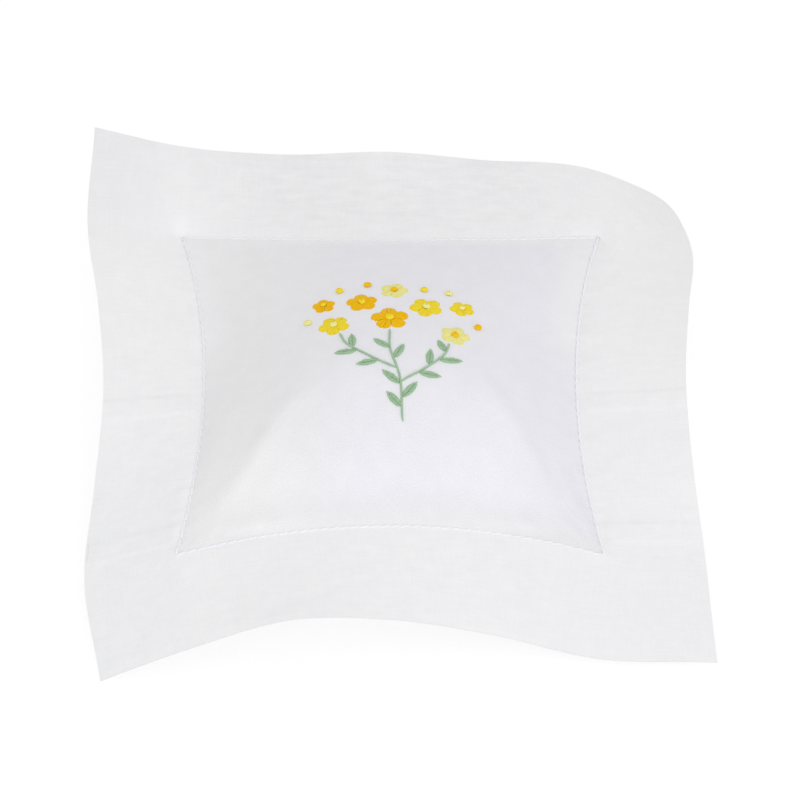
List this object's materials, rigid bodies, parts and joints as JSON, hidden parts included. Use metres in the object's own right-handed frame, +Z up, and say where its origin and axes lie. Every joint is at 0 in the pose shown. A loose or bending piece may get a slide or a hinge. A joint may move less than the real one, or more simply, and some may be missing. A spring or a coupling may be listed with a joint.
{
  "type": "scented sachet",
  "caption": "Square white cotton sachet: a filled, embroidered panel framed by a wide flat flange, with an overlapping hemmed back and a loose muslin pouch of dried filling.",
  "frame": {"origin": "middle of the footprint's bounding rectangle, on the table", "axes": "+Z up out of the table, +X to the viewer's right, +Y away from the viewer, towards the sprig's top"},
  "size_m": [0.1496, 0.1588, 0.0351],
  "materials": {
    "white_cotton": "matte, fine plain weave",
    "muslin": "matte, open plain weave",
    "dried_filling": "matte, dried buds",
    "white_thread": "satin, twisted",
    "deep_yellow_thread": "satin, stranded",
    "mid_yellow_thread": "satin, stranded",
    "pale_yellow_thread": "satin, stranded",
    "green_thread": "satin, stranded"
  },
  "bodies": {
    "root": {"front_cover": "white_cotton", "back_cover_upper": "white_cotton", "back_cover_lower": "white_cotton", "pouch_front": "muslin", "pouch_back": "muslin", "pouch_filling": "dried_filling", "panel_seam_needle_thread": "white_thread", "panel_seam_bobbin_thread": "white_thread", "edge_seam_thread": "white_thread", "upper_hem_thread": "white_thread", "lower_hem_thread": "white_thread", "pouch_seam_thread": "muslin", "bud_1": "deep_yellow_thread", "bud_2": "mid_yellow_thread", "bud_3": "pale_yellow_thread", "bud_4": "deep_yellow_thread", "bud_5": "mid_yellow_thread", "bud_6": "pale_yellow_thread", "flower_1_eye": "mid_yellow_thread", "flower_1_petals": "deep_yellow_thread", "flower_2_eye": "pale_yellow_thread", "flower_2_petals": "mid_yellow_thread", "flower_3_eye": "deep_yellow_thread", "flower_3_petals": "pale_yellow_thread", "flower_4_eye": "mid_yellow_thread", "flower_4_petals": "deep_yellow_thread", "flower_5_eye": "pale_yellow_thread", "flower_5_petals": "mid_yellow_thread", "flower_6_eye": "deep_yellow_thread", "flower_6_petals": "pale_yellow_thread", "flower_7_eye": "mid_yellow_thread", "flower_7_petals": "deep_yellow_thread", "flower_8_eye": "pale_yellow_thread", "flower_8_petals": "mid_yellow_thread", "stem_1": "green_thread", "stem_1_leaf_1": "green_thread", "stem_1_leaf_2": "green_thread", "stem_1_leaf_3": "green_thread", "stem_1_leaf_4": "green_thread", "stem_1_leaf_5": "green_thread", "stem_2": "green_thread", "stem_2_leaf_1": "green_thread", "stem_2_leaf_2": "green_thread", "stem_2_leaf_3": "green_thread", "stem_3": "green_thread", "stem_3_leaf_1": "green_thread", "stem_3_leaf_2": "green_thread", "stem_3_leaf_3": "green_thread", "stem_3_leaf_4": "green_thread"}
  },
  "joints": []
}
